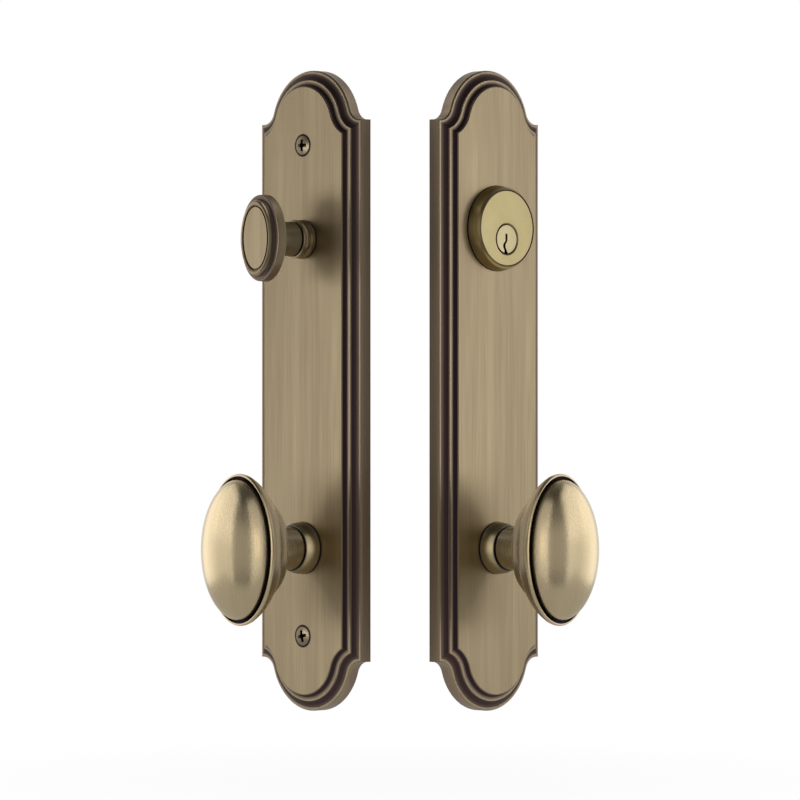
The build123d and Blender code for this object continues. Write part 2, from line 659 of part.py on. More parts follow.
def cylinder_housing():
    face_r = CYL_FRONT_R - CYL_CHAMFER - CYL_LIP_W - SLIP
    seat = CYL_FACE - CYL_FACE_T
    body = turned([(0, -CYL_BODY_OUT), (CYL_BODY_R, -CYL_BODY_OUT), (CYL_BODY_R, seat), (face_r, seat),
                   (face_r, CYL_FACE - 0.2), (face_r - 0.2, CYL_FACE), (0, CYL_FACE)])
    bore, foot = PLUG_R + RUN, -CYL_BODY_OUT - 1
    body -= Pos(0, -PLUG_DROP, 0) * turned([(0, foot), (bore, foot), (bore, CYL_FACE - PLUG_DISH_H),
                                            (PLUG_DISH_R, CYL_FACE), (0, CYL_FACE)])
    top = CYL_BODY_R - CHAMBER_CAP
    for z in pin_heights():
        body -= Pos(0, -PLUG_DROP, z) * Rot(-90, 0, 0) * disc(PIN_R + RUN, PLUG_R - 1, top + PLUG_DROP)
    for side in (-1, 1):
        body -= disc(CLAMP_SCREW_R, seat - 1, seat + CLAMP_SCREW_IN, x=side * CLAMP_SCREW_AT)
    return body


def pin_heights():
    return [PLUG_FACE - FIRST_PIN - PIN_PITCH * i for i in range(PIN_COUNT)]


def keyway():
    """A crooked slot that runs out of the plug's underside, so that only its own key goes in."""
    right = [(x + width / 2, y) for x, y, width in KEYWAY_LINE]
    left = [(x - width / 2, y) for x, y, width in KEYWAY_LINE]
    face = make_face(Polyline(*right, *left[::-1], close=True))
    return Pos(0, 0, PLUG_FACE - KEYWAY_DEPTH) * extrude(face, KEYWAY_DEPTH + 1)


def cylinder_plug():
    body = disc(PLUG_R, PLUG_END, PLUG_FACE) - keyway()
    for z in pin_heights():
        body -= Pos(0, 0, z) * Rot(-90, 0, 0) * disc(PIN_R + RUN, 0, PLUG_R + 1)
    return body - disc(CAP_THREAD_R, PLUG_END - 1, PLUG_END + CAP_THREAD_DEPTH)


def plug_cap():
    low = PLUG_END - CAP_T
    body = disc(CAP_R, low, PLUG_END) + disc(CAP_THREAD_R, PLUG_END, PLUG_END + CAP_THREAD_DEPTH)
    return body - block(CYL_BAR_T, CYL_BAR_W, low - 1, low + CYL_BAR_SEAT)


def cylinder_tailpiece():
    return block(CYL_BAR_T, CYL_BAR_W, -BAR_OUT, PLUG_END - CAP_T + CYL_BAR_SEAT)


def in_chambers(pin):
    """One pin for each chamber. pin stands on Z, and its chambers point up."""
    return [Pos(0, 0, z) * Rot(-90, 0, 0) * pin for z in pin_heights()]


def key_pins():
    """Pins in the plug, standing as the right key lifts them, with coned feet."""
    top = math.sqrt(PLUG_R ** 2 - PIN_R ** 2) - SHEAR_GAP / 2
    return in_chambers(turned([(0, KEY_PIN_FOOT), (PIN_R, KEY_PIN_FOOT + PIN_R / 2), (PIN_R, top), (0, top)]))


def driver_pins():
    low = PLUG_R + RUN + SHEAR_GAP
    return in_chambers(disc(PIN_R, low, low + DRIVER_L))


def clamp_ring():
    body = ring(CLAMP_R, CYL_BODY_R + SLIP, CEILING - CLAMP_T, CEILING)
    for side in (-1, 1):
        body -= disc(CLAMP_SCREW_R + SLIP, 0, CEILING + 1, x=side * CLAMP_SCREW_AT)
    return body


def clamp_screws():
    low = CEILING - CLAMP_T
    top = CYL_FACE - CYL_FACE_T + CLAMP_SCREW_IN
    one = disc(CLAMP_HEAD_R, low - CLAMP_HEAD_H, low) + disc(CLAMP_SCREW_R, low, top)
    one -= block(CLAMP_HEAD_R * 2 + 1, 0.6, low - CLAMP_HEAD_H - 1, low - CLAMP_HEAD_H / 2)
    return [Pos(side * CLAMP_SCREW_AT, 0, 0) * one for side in (-1, 1)]


# The whole set

def knob_side():
    """The pieces behind and in one knob, the same on both halves, on the knob's axis."""
    return {
        "knob": knob(),
        "knob_collar": knob_collar(),
        "knob_bushing": knob_bushing(),
        "knob_snap_ring": knob_snap_ring(),
        "knob_set_screw": set_screw(),
        "spindle": spindle(),
        "drive_cam": drive_cam(),
        "spring_housing": spring_housing(),
        "return_spring": return_spring(),
        "spring_cover": spring_cover(),
        "cover_screws": cover_screws(),
    }


def at_height(pieces, y):
    return {name: moved(piece, Pos(0, y, 0)) for name, piece in pieces.items()}


def moved(piece, where):
    return [where * one for one in piece] if isinstance(piece, list) else where * piece


def interior_half():
    half = {"interior_plate": interior_plate(), "tie_screws": tie_screws()}
    for name, piece in at_height(knob_side(), KNOB_Y).items():
        half["interior_" + name] = piece
    turn = {"thumbturn": thumbturn(), "thumbturn_collar": turn_collar(), "thumbturn_pin": turn_pin(),
            "thumbturn_washer": turn_washer(), "thumbturn_snap_ring": turn_snap_ring(),
            "thumbturn_tailpiece": turn_tailpiece()}
    half.update(at_height(turn, TURN_Y))
    return half


def exterior_half():
    half = {"exterior_plate": exterior_plate(), "tie_posts": tie_posts()}
    for name, piece in at_height(knob_side(), KNOB_Y).items():
        half["exterior_" + name] = piece
    fixed = {"cylinder_collar": cylinder_collar(), "cylinder_housing": cylinder_housing(),
             "cylinder_clamp_ring": clamp_ring(), "cylinder_clamp_screws": clamp_screws()}
    half.update(at_height(fixed, TURN_Y + PLUG_DROP))
    turning = {"cylinder_plug": cylinder_plug(), "plug_cap": plug_cap(), "key_pins": key_pins(),
               "cylinder_tailpiece": cylinder_tailpiece(), "driver_pins": driver_pins()}
    half.update(at_height(turning, TURN_Y))
    return half


def place(side):
    """Stands a half up and turns it: side is -1 for the interior half and 1 for the exterior."""
    return Pos(side * HALF_X, 0, 0) * Rot(0, 0, side * HALF_TURN) * Rot(90, 0, 0)


def whole_set():
    pieces = {}
    for side, half in ((-1, interior_half()), (1, exterior_half())):
        for name, piece in half.items():
            pieces[name] = moved(piece, place(side))
    return pieces


def as_shape(piece):
    return Compound([one.solid() for one in piece]) if isinstance(piece, list) else one_solid(piece)


def centred(pieces):
    """Shapes by name, moved so that the middle of the whole set's box is the origin."""
    shapes = {name: as_shape(piece) for name, piece in pieces.items()}
    boxes = [shape.bounding_box() for shape in shapes.values()]
    low = [min(getattr(box.min, axis) for box in boxes) for axis in "XYZ"]
    high = [max(getattr(box.max, axis) for box in boxes) for axis in "XYZ"]
    shift = Pos(*[-(a + b) / 2 for a, b in zip(low, high)])
    return {name: shift * shape for name, shape in shapes.items()}, shift


os.makedirs("parts", exist_ok=True)
SHAPES, SHIFT = centred(whole_set())
for node_name, node_shape in SHAPES.items():
    export_step(node_shape, "parts/" + node_name + ".step")
print("box centre moved by", [round(v, 4) for v in SHIFT.position])
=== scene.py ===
import bmesh
import bpy
import json
import math
from mathutils import Matrix, Vector


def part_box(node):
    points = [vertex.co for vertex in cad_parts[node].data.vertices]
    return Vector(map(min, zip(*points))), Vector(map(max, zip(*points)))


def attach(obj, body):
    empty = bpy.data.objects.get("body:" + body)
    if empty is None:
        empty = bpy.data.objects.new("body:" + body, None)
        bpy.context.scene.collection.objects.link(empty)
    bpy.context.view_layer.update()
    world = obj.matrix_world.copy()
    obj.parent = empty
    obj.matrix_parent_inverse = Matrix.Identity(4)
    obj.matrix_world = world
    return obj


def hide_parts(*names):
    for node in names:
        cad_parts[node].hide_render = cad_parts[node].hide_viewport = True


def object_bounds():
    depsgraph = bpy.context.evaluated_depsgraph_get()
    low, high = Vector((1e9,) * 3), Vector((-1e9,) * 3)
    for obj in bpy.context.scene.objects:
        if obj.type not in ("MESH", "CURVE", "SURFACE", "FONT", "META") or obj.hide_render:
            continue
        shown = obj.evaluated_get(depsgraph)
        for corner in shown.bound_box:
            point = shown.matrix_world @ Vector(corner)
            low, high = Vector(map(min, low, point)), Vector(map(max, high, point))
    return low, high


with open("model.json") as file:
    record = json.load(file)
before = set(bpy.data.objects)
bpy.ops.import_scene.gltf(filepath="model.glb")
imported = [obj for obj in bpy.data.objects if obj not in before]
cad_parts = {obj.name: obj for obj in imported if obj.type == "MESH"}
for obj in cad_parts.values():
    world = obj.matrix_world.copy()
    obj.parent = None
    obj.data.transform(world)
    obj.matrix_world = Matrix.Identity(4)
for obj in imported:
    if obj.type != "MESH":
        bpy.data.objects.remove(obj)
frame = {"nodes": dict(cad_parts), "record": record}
CAD_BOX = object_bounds()

# Entry set in antique brass: two moulded plates that stand turned to each other like an open book,
# each with an egg-shaped knob, one with a thumbturn and one with a key cylinder above it.
# Sizes are in millimetres on a half's own frame: X across the plate, Y up, Z out of the door.

MM = 0.001
MERGE = 1e-6            # metres, below which two corners of a copied mesh are one

# Sizes that the finishes follow
PLATE_W = 65.5
PLATE_T = 10.8
WALL_TOP = 5.2          # plate's side wall
LIP_TOP = 5.8
RISER_FOOT = 7.9        # top of the lower cove
LEDGE = 8.2             # foot of the upper cove
BROW = 10.4             # top of the upper cove
HALF_TURN = 45.0

KNOB_AXIS = -71.2
TURN_AXIS = 68.5
CYLINDER_AXIS = 73.5
SCREW_AXIS = 111.125    # and as far below
PLUG_FACE = 16.75       # its height above the door
KNOB_RATIO = 0.64       # width of an oval to its height
TURN_FRONT_RATIO = 0.575

# Camera, from the size of the picture and the spread of the two plates
CAMERA_BACK = 2.1       # metres in front of the door's plane
CAMERA_Z = -0.0042
LENS = 207.9
SENSOR = 36.0


# Where the halves stand

def half_frame(plate, side):
    """The place of a half's own frame, from its packed plate. side is -1 for the interior half."""
    low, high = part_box(plate)
    reach = PLATE_W / 2 * MM * math.cos(math.radians(HALF_TURN))
    x = high.x - reach if side < 0 else low.x + reach
    middle = Matrix.Translation((x, high.y - reach, (low.z + high.z) / 2))
    stand = Matrix.Rotation(math.radians(90), 4, "X")
    return middle @ Matrix.Rotation(side * math.radians(HALF_TURN), 4, "Z") @ stand


HALVES = {
    "interior": half_frame("interior_plate", -1),
    "exterior": half_frame("exterior_plate", 1),
}
DOOR_Y = HALVES["interior"].translation.y
BODY_OF = {n: body for body, names in frame["record"]["behaviour"]["bodies"].items() for n in names}


# Materials

def linear(colour):
    """An sRGB hex colour as the linear one that a socket takes."""
    parts = [int(colour[i:i + 2], 16) / 255 for i in (1, 3, 5)]
    return [c / 12.92 if c <= 0.04045 else ((c + 0.055) / 1.055) ** 2.4 for c in parts] + [1.0]


def add(tree, kind, inputs=None, **settings):
    """Adds a node with its settings. inputs gives each socket a value or another node's output."""
    made = tree.nodes.new(kind)
    for name, value in settings.items():
        setattr(made, name, value)
    for socket, value in (inputs or {}).items():
        if isinstance(value, bpy.types.NodeSocket):
            tree.links.new(value, made.inputs[socket])
        else:
            made.inputs[socket].default_value = value
    return made


def new_material(name):
    """An empty material: its tree and the shader that goes to its output."""
    material = bpy.data.materials.new(name)
    material.use_nodes = True
    tree = material.node_tree
    tree.nodes.clear()
    shader = add(tree, "ShaderNodeBsdfPrincipled")
    add(tree, "ShaderNodeOutputMaterial", {"Surface": shader.outputs["BSDF"]})
    return material, tree, shader


def on_half(tree, half, axis=0.0):
    """Object coordinates turned to the half's frame, in millimetres, from an axis at that height."""
    back = HALVES[half].inverted()
    shift = back.translation / MM - Vector((0, axis, 0))
    coordinates = add(tree, "ShaderNodeTexCoord")
    return add(tree, "ShaderNodeMapping", {
        "Vector": coordinates.outputs["Object"], "Scale": (1 / MM,) * 3,
        "Rotation": back.to_euler(), "Location": shift}).outputs["Vector"]


def section(tree, place, ratio=1.0, apart=0.0):
    """(radius, height) of a point on a turned piece, as one vector. ratio is that of an oval.

    With apart there are two such pieces, that far above and below the axis."""
    xyz = add(tree, "ShaderNodeSeparateXYZ", {"Vector": place})
    wide = add(tree, "ShaderNodeMath", {0: xyz.outputs["X"], 1: ratio}, operation="DIVIDE")
    tall = xyz.outputs["Y"]
    if apart:
        either = add(tree, "ShaderNodeMath", {0: tall}, operation="ABSOLUTE")
        tall = add(tree, "ShaderNodeMath", {0: either.outputs[0], 1: apart}, operation="SUBTRACT").outputs[0]
    flat = add(tree, "ShaderNodeCombineXYZ", {"X": wide.outputs[0], "Y": tall})
    radius = add(tree, "ShaderNodeVectorMath", {0: flat.outputs[0]}, operation="LENGTH")
    return add(tree, "ShaderNodeCombineXYZ", {
        "X": radius.outputs["Value"], "Y": xyz.outputs["Z"]}).outputs[0]


DARK_SPOT_CORE = 0.35       # how much of a dark spot's reach has its full depth


def darkened_round(tree, at, dark_spots):
    """Darkening round each spot (radius, height, reach, depth) of a section: patina, and painted shade in
    some hollows.
    """
    total = None
    for radius, height, reach, depth in dark_spots:
        away = add(tree, "ShaderNodeVectorMath", {0: at, 1: (radius, height, 0)}, operation="DISTANCE")
        dark = add(tree, "ShaderNodeMapRange", {
            "Value": away.outputs["Value"], "From Min": reach * DARK_SPOT_CORE, "From Max": reach,
            "To Min": depth, "To Max": 0.0}, interpolation_type="SMOOTHSTEP").outputs[0]
        if total is None:
            total = dark
        else:
            total = add(tree, "ShaderNodeMath", {0: total, 1: dark}, operation="MAXIMUM").outputs[0]
    return total


def stepped(tree, value, span, stops):
    """A grey ramp over 0 to span with a stop (place, grey) for each step."""
    share = add(tree, "ShaderNodeMath", {0: value, 1: span}, operation="DIVIDE")
    ramp = add(tree, "ShaderNodeValToRGB", {"Fac": share.outputs[0]})
    while len(ramp.color_ramp.elements) < len(stops):
        ramp.color_ramp.elements.new(1.0)
    for element, (place, grey) in zip(ramp.color_ramp.elements, stops):
        element.position = place / span
        element.color = (grey, grey, grey, 1)
    return ramp.outputs["Color"]


def grain(tree, vector, spacing, detail=3.0):
    """Noise about 0.5 whose spacing is given for each axis, in the unit of the vector."""
    scaled = add(tree, "ShaderNodeVectorMath", {
        0: vector, 1: [1 / s for s in spacing]}, operation="MULTIPLY")
    return add(tree, "ShaderNodeTexNoise", {
        "Vector": scaled.outputs[0], "Scale": 1.0, "Detail": detail}).outputs["Fac"]


# Brush lines, in millimetres. They are drawn coarser than real ones, so that they show.
FINE_LINE = 0.42
KNOB_LINE = 0.5
TURN_LINE = 0.4
RING_LINE = 0.35
LINE_LENGTH = 38.0
LINE_DEPTH = 0.00001    # metres
TONE_WIDTH = 6.5        # broad streaks of lighter and darker tone along the brushing
TONE_LENGTH = 120.0
RING_TONE = 4.0
BLAST_TONE = 9.0
KNOB_MIDDLE = 46.0      # height of a knob's widest part, about which its lines are drawn
KNOB_TUBE_R = 20.0

GLOSS_PLAY = 0.04       # how far the roughness goes either way between the lines
PATINA_DULLS = 0.14     # what full patina adds to the roughness
MOTTLE_SHINES = 0.05    # how far a bare metal's roughness falls in its own colour
MOTTLE_DULLS = 0.07     # and rises in its second tone
NOISE_SPAN = {"From Min": 0.25, "From Max": 0.75}     # what a noise fills of its range
# Dark colours, thin and thick: patina in the hollows, and also painted shade, the purple in the plug's dish
# and keyway, the blue-black in the knob's groove and under the lock ring's lip
PURPLE_PATINA_AND_SHADE = ("#7D6A68", "#3A2A2D")     # thin, thick
BLUE_PATINA_AND_SHADE = ("#4A4852", "#1D1C26")


def antique_brass(name, place, lines, colours, rough, tone=0.5, patina_and_shade_colours=PURPLE_PATINA_AND_SHADE, relief=0.35):
    """Brass, darkened in a bath and brushed back to metal on what stands proud.

    The eye gets a satin brass with fine lines, and purple-brown or blue-black patina that is left in
    the hollows; in some hollows the same dark is painted shade. place and lines are functions of the
    tree: the share of patina and painted shade, and the lines' noise."""
    material, tree, shader = new_material(name)
    fine, broad = lines(tree)
    patina_and_shade = place(tree)
    dark, light, shade = (linear(colour) for colour in colours)
    thin, thick = (linear(colour) for colour in patina_and_shade_colours)
    streak = add(tree, "ShaderNodeMapRange", {"Value": broad, **NOISE_SPAN})
    line = add(tree, "ShaderNodeMapRange", {"Value": fine, **NOISE_SPAN, "To Max": tone})
    heavy = add(tree, "ShaderNodeMapRange", {"Value": patina_and_shade, "From Min": 0.5})
    hue = add(tree, "ShaderNodeMix", {0: streak.outputs[0], 6: dark, 7: light}, data_type="RGBA")
    lined = add(tree, "ShaderNodeMix", {0: line.outputs[0], 6: hue.outputs[2], 7: shade}, data_type="RGBA")
    patina_and_shade_hue = add(tree, "ShaderNodeMix", {0: heavy.outputs[0], 6: thin, 7: thick}, data_type="RGBA")
    colour = add(tree, "ShaderNodeMix", {
        0: patina_and_shade, 6: lined.outputs[2], 7: patina_and_shade_hue.outputs[2]}, data_type="RGBA")
    gloss = add(tree, "ShaderNodeMapRange", {
        "Value": fine, **NOISE_SPAN, "To Min": rough - GLOSS_PLAY, "To Max": rough + GLOSS_PLAY})
    worn = add(tree, "ShaderNodeMath", {
        0: patina_and_shade, 1: PATINA_DULLS, 2: gloss.outputs[0]}, operation="MULTIPLY_ADD")
    grooves = add(tree, "ShaderNodeBump", {"Strength": relief, "Distance": LINE_DEPTH, "Height": fine})
    shader.inputs["Metallic"].default_value = 1.0
    tree.links.new(colour.outputs[2], shader.inputs["Base Color"])
    tree.links.new(worn.outputs[0], shader.inputs["Roughness"])
    tree.links.new(grooves.outputs[0], shader.inputs["Normal"])
    return material


def brushed(tree, place, width):
    """The fine and the broad noise of brush lines that run up."""
    return (grain(tree, place, (width, LINE_LENGTH, width)),
            grain(tree, place, (TONE_WIDTH, TONE_LENGTH, TONE_WIDTH), 2.0))


def straight_lines(half, width=FINE_LINE):
    """Brush lines that run up the half."""
    return lambda tree: brushed(tree, on_half(tree, half), width)


def wrapped_lines(half):
    """Brush lines that run up a knob's front, sides and back alike, as if drawn on a tube round it."""
    def lines(tree):
        xyz = add(tree, "ShaderNodeSeparateXYZ", {"Vector": on_half(tree, half)})
        depth = add(tree, "ShaderNodeMath", {0: xyz.outputs["Z"], 1: KNOB_MIDDLE}, operation="SUBTRACT")
        across = add(tree, "ShaderNodeCombineXYZ", {"X": xyz.outputs["X"], "Z": depth.outputs[0]})
        outwards = add(tree, "ShaderNodeVectorMath", {0: across.outputs[0]}, operation="NORMALIZE")
        up = add(tree, "ShaderNodeCombineXYZ", {"Y": xyz.outputs["Y"]})
        place = add(tree, "ShaderNodeVectorMath", {
            0: outwards.outputs[0], 1: (KNOB_TUBE_R,) * 3, 2: up.outputs[0]}, operation="MULTIPLY_ADD")
        return brushed(tree, place.outputs[0], KNOB_LINE)
    return lines


def ring_lines(half, axis):
    """Turning lines that run round an axis."""
    def lines(tree):
        at = section(tree, on_half(tree, half, axis))
        return grain(tree, at, (RING_LINE, RING_LINE, 1)), grain(tree, at, (RING_TONE, RING_TONE, 1), 2.0)
    return lines


def blasted_grain(half, width=0.5):
    """An even grain with no direction, as bead blasting leaves."""
    def lines(tree):
        place = on_half(tree, half)
        return grain(tree, place, (width,) * 3), grain(tree, place, (BLAST_TONE,) * 3, 2.0)
    return lines


def in_section(half, axis, dark_spots, ratio=1.0, apart=0.0):
    """Patina in the hollows of a turned piece, and painted shade in some of them."""
    return lambda tree: darkened_round(tree, section(tree, on_half(tree, half, axis), ratio, apart), dark_spots)


# Patina up the plate's edge, as (height above the door, share)
MOULDING_PATINA = [
    (0.0, 0.5), (WALL_TOP - 1.0, 0.35), (WALL_TOP, 0.1),                     # side wall
    (LIP_TOP + 0.003, 0.0), (LIP_TOP + 0.03, 0.86), (LIP_TOP + 0.5, 0.95),   # lip, foot of the lower cove
    (RISER_FOOT - 0.35, 0.95), (RISER_FOOT + 0.1, 0.1),                      # its top, and the riser
    (LEDGE + 0.003, 0.0), (LEDGE + 0.06, 0.5), (LEDGE + 0.5, 0.98),          # ledge, foot of the upper cove
    (BROW - 0.2, 0.97), (BROW + 0.15, 0.35), (PLATE_T - 0.02, 0.0),          # its top, and the face's edge
]


def in_moulding(half):
    """Patina in the plate's coves, thinly on its side wall and round its screws. The ridges are clean."""
    def place(tree):
        at = on_half(tree, half)
        xyz = add(tree, "ShaderNodeSeparateXYZ", {"Vector": at})
        edge = stepped(tree, xyz.outputs["Z"], PLATE_T + 1, MOULDING_PATINA)
        if half == "exterior":
            return edge
        seats = darkened_round(tree, section(tree, at, apart=SCREW_AXIS), SEAT_STAINS)
        return add(tree, "ShaderNodeMath", {0: edge, 1: seats}, operation="MAXIMUM").outputs[0]
    return place


def keyway_shade(half):
    """Painted shade in the keyway, behind the plug's face."""
    def place(tree):
        xyz = add(tree, "ShaderNodeSeparateXYZ", {"Vector": on_half(tree, half)})
        stops = [(0, 1.0), (PLUG_FACE - 0.6, 1.0), (PLUG_FACE - 0.1, 0.0)]
        return stepped(tree, xyz.outputs["Z"], PLUG_FACE, stops)
    return place


def plain_metal(name, colour, tone, rough, spacing):
    """A bare metal with a faint mottle of a second tone, whose spacing is in millimetres."""
    material, tree, shader = new_material(name)
    coordinates = add(tree, "ShaderNodeTexCoord")
    mottle = grain(tree, coordinates.outputs["Object"], (spacing * MM,) * 3)
    share = add(tree, "ShaderNodeMapRange", {"Value": mottle, **NOISE_SPAN})
    hue = add(tree, "ShaderNodeMix", {
        0: share.outputs[0], 6: linear(colour), 7: linear(tone)}, data_type="RGBA")
    gloss = add(tree, "ShaderNodeMapRange", {
        "Value": mottle, **NOISE_SPAN, "To Min": rough - MOTTLE_SHINES, "To Max": rough + MOTTLE_DULLS})
    shader.inputs["Metallic"].default_value = 1.0
    tree.links.new(hue.outputs[2], shader.inputs["Base Color"])
    tree.links.new(gloss.outputs[0], shader.inputs["Roughness"])
    return material


# Dark spots in the hollows of the turned pieces, as (radius, height, reach, depth): patina, and in some
# places painted shade
# The knob's first three spots fill the groove between dome and rim: patina, and painted shade where the
# groove is shaded
KNOB_PATINA_AND_SHADE = [(31.7, 48.4, 2.3, 1.0), (30.6, 48.3, 1.9, 1.0), (32.9, 49.2, 1.0, 1.0),
               (23.3, 37.9, 1.0, 0.85), (18.6, 31.2, 1.2, 0.5), (9.7, 18.8, 1.3, 0.95)]
KNOB_COLLAR_STAINS = [(12.0, 10.8, 1.2, 1.0), (9.6, 18.4, 1.3, 0.95)]
TURN_STAINS = [(18.0, 38.0, 1.9, 0.8), (19.7, 37.7, 1.2, 0.75), (14.3, 39.7, 0.9, 0.85),
               (17.3, 39.3, 0.5, 0.8), (8.0, 18.5, 0.9, 0.9)]
TURN_COLLAR_STAINS = [(8.8, 10.8, 0.9, 1.0), (7.4, 18.0, 0.8, 0.9)]
# The lock ring's second spot is painted shade, in the groove between its lip and the lock face
RING_PATINA_AND_SHADE = [(19.6, 10.8, 1.1, 1.0), (17.1, 16.9, 0.7, 1.0)]
# Painted shade in the dish round the plug
PLUG_DISH_SHADE = [(6.6, 16.2, 0.85, 0.9)]
SCREW_STAINS = [(4.75, 10.7, 0.9, 1.0), (0.0, 9.2, 2.4, 1.0), (1.7, 9.9, 1.4, 1.0)]
SEAT_STAINS = [(4.7, 10.7, 0.8, 1.0)]

# Colours of the bare brass: darker, lighter, and along the brush lines
VINTAGE = ("#95856C", "#AA9B7C", "#85755C")
POLISHED = ("#BAA988", "#C3B291", "#A99877")
TURNED = ("#B3A37E", "#BFAF8A", "#998A67")
SCREW_FACE = ("#8A7B63", "#9C8D70", "#6B5D48")
PLUG_BRASS = ("#AFA27E", "#B8AC88", "#9D906D")
RING_BRASS = ("#AF9865", "#BBA571", "#957D50")
LOCK_FACE = ("#AB9D73", "#B3A67B", "#9C8E66")


def turned(half, name, axis, dark_spots, rough=0.3, colours=TURNED):
    """Antique brass off a lathe: rings too fine to count, and blue-black patina in the corners, which in the
    lock ring's groove under its lip is painted shade.
    """
    return antique_brass(f"antique brass, turned, {half} {name}", in_section(half, axis, dark_spots),
                         ring_lines(half, axis), colours, rough, patina_and_shade_colours=BLUE_PATINA_AND_SHADE)


# Yellow and bright, as fresh from the lathe
PIN_BRASS = plain_metal("yellow brass, turned pins", "#C8A862", "#B79650", 0.3, 2.0)
# Reddish and dull, with the fine speckle of pressed powder
BRONZE = plain_metal("oil-filled bronze, sintered bushing", "#A8764A", "#8A5F3B", 0.45, 0.4)
# Mid grey with a hard sheen
WIRE = plain_metal("spring steel, drawn wire", "#8E9096", "#6F7278", 0.3, 2.0)
# Pale grey, a little cloudy
ZINC = plain_metal("zinc-plated steel, stamped", "#B8BAB6", "#A3A59C", 0.36, 3.0)

FINISH_OF = {
    # A satin face with soft lines inside dark steps
    "thumbturn": antique_brass(
        "antique brass, brushed and relieved, interior thumbturn",
        in_section("interior", TURN_AXIS, TURN_STAINS, TURN_FRONT_RATIO),
        straight_lines("interior", TURN_LINE), VINTAGE, 0.38, 0.3),
    "thumbturn_collar": turned("interior", "turn collar", TURN_AXIS, TURN_COLLAR_STAINS),
    "cylinder_collar": turned("exterior", "lock ring", CYLINDER_AXIS, RING_PATINA_AND_SHADE, 0.34, RING_BRASS),
    # An even, greener brass with no lines, with painted shade in the dish round the plug
    "cylinder_housing": antique_brass(
        "satin brass, bead blasted, exterior lock face",
        in_section("exterior", TURN_AXIS, PLUG_DISH_SHADE), blasted_grain("exterior"), LOCK_FACE, 0.42, 0.4),
    # A little brighter and smoother than the face round it, with its keyway painted dark as shade
    "cylinder_plug": antique_brass(
        "satin brass, turned, exterior plug",
        keyway_shade("exterior"), blasted_grain("exterior", 0.7), PLUG_BRASS, 0.38, 0.3),
    # Darker than the plate, and black in the cross
    "tie_screws": antique_brass(
        "antique brass, plated screw heads, interior",
        in_section("interior", 0.0, SCREW_STAINS, apart=SCREW_AXIS), blasted_grain("interior", 0.9),
        SCREW_FACE, 0.3, 0.6, BLUE_PATINA_AND_SHADE),
}
for finish, nodes in (
        (ZINC, ("tie_posts", "thumbturn_pin", "thumbturn_tailpiece", "cylinder_clamp_ring",
                "cylinder_clamp_screws", "cylinder_tailpiece")),
        (WIRE, ("thumbturn_washer", "thumbturn_snap_ring")),
        (PIN_BRASS, ("plug_cap", "key_pins", "driver_pins"))):
    FINISH_OF.update(dict.fromkeys(nodes, finish))
for half in HALVES:
    # Long soft lines on the face, and purple-brown coves between clean ridges
    FINISH_OF[half + "_plate"] = antique_brass(
        f"antique brass, brushed and relieved, {half} plate",
        in_moulding(half), straight_lines(half), VINTAGE, 0.42)
    # The brightest brass, smooth enough to hold soft reflections, with a black groove of patina and painted
    # shade
    FINISH_OF[half + "_knob"] = antique_brass(
        f"antique brass, satin polished, {half} knob",
        in_section(half, KNOB_AXIS, KNOB_PATINA_AND_SHADE, KNOB_RATIO),
        wrapped_lines(half), POLISHED, 0.27, 0.25, BLUE_PATINA_AND_SHADE, 0.04)
    FINISH_OF[half + "_knob_collar"] = turned(half, "knob collar", KNOB_AXIS, KNOB_COLLAR_STAINS)
    FINISH_OF[half + "_knob_bushing"] = BRONZE
    for name in ("_knob_snap_ring", "_return_spring"):
        FINISH_OF[half + name] = WIRE
    for name in ("_knob_set_screw", "_spindle", "_drive_cam", "_spring_housing", "_spring_cover",
                 "_cover_screws"):
        FINISH_OF[half + name] = ZINC


# Pieces

SMOOTH_BELOW = 30.0     # degrees between faces that are shaded as one surface


def dressed(name, finish):
    """A smooth copy of a CAD node, whose loose triangles are merged, in place of the node."""
    mesh = frame["nodes"][name].data.copy()
    for attribute in ("custom_normal", "sharp_face", "sharp_edge"):
        if attribute in mesh.attributes:
            mesh.attributes.remove(mesh.attributes[attribute])
    bm = bmesh.new()
    bm.from_mesh(mesh)
    bmesh.ops.remove_doubles(bm, verts=bm.verts, dist=MERGE)
    bmesh.ops.dissolve_degenerate(bm, edges=bm.edges, dist=MERGE)
    bm.to_mesh(mesh)
    bm.free()
    mesh.shade_smooth()
    mesh.set_sharp_from_angle(angle=math.radians(SMOOTH_BELOW))
    mesh.materials.clear()
    mesh.materials.append(finish)
    piece = bpy.data.objects.new(name + "_finished", mesh)
    bpy.context.scene.collection.objects.link(piece)
    weights = piece.modifiers.new("even faces", "WEIGHTED_NORMAL")
    weights.keep_sharp = True
    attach(piece, BODY_OF[name])
    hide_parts(name)
    return piece


# What the lamps light, each group by itself
LIT = {(half, group): bpy.data.collections.new(f"lit, {half} {group}")
       for half in HALVES for group in ("plate", "knob", "lock")}
OBJECT = bpy.data.collections.new("what casts shadows on the object")
for name in sorted(frame["nodes"]):
    half = "interior" if name.startswith(("interior", "thumbturn", "tie_screws")) else "exterior"
    group = "plate"
    if name.endswith(("_knob", "_knob_collar")):
        group = "knob"
    elif name in ("thumbturn", "thumbturn_collar", "cylinder_collar"):
        group = "lock"
    piece = dressed(name, FINISH_OF[name])
    LIT[half, group].objects.link(piece)
    OBJECT.objects.link(piece)


# Studio. Each half has its own lamps, those of the exterior half mirrored, as if they had been
# photographed one after the other.

